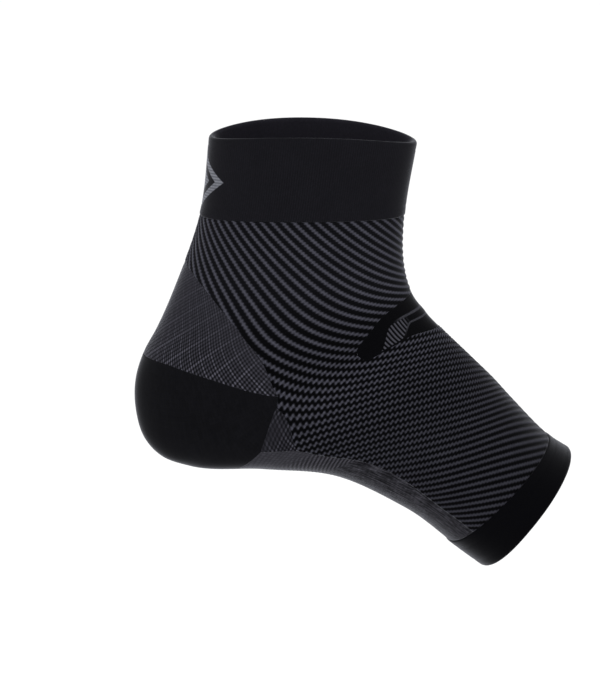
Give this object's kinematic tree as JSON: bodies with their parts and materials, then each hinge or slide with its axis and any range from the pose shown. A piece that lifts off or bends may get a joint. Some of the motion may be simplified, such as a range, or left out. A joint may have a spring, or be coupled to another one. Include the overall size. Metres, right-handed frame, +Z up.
{
  "type": "arch support sleeve",
  "caption": "Knitted arch and ankle compression sleeve in its worn shape, open at the ankle and the toes, with a plain heel pocket, ribbed sides, a sole band and folded elastic cuffs.",
  "frame": {"origin": "centre of the ankle opening, where the leg comes out; the sleeve hangs from there as it does on the leg", "axes": "+Z up along the leg, +X towards the toes, +Y to the left of the foot"},
  "size_m": [0.1748, 0.0898, 0.1758],
  "materials": {
    "cuff_knit": "matte, fine double-layer elastic knit, black",
    "rib_knit": "matte knit of raised dark grey ribs on black",
    "checker_knit": "matte fine checker knit, dark grey and black",
    "plain_knit": "matte dense plain knit, black",
    "sole_knit": "matte braided knit, dark grey",
    "patch_knit": "matte smooth knit, black with a grey ladder",
    "toe_cuff_knit": "matte fine double-layer elastic knit, black"
  },
  "bodies": {
    "root": {"ankle_cuff": "cuff_knit", "leg_sleeve": "rib_knit", "achilles_panel": "checker_knit", "heel_pocket": "plain_knit", "gusset_right": "checker_knit", "gusset_left": "checker_knit", "foot_sleeve": "rib_knit", "sole_band": "sole_knit", "instep_patch": "patch_knit", "toe_cuff": "toe_cuff_knit"}
  },
  "joints": []
}
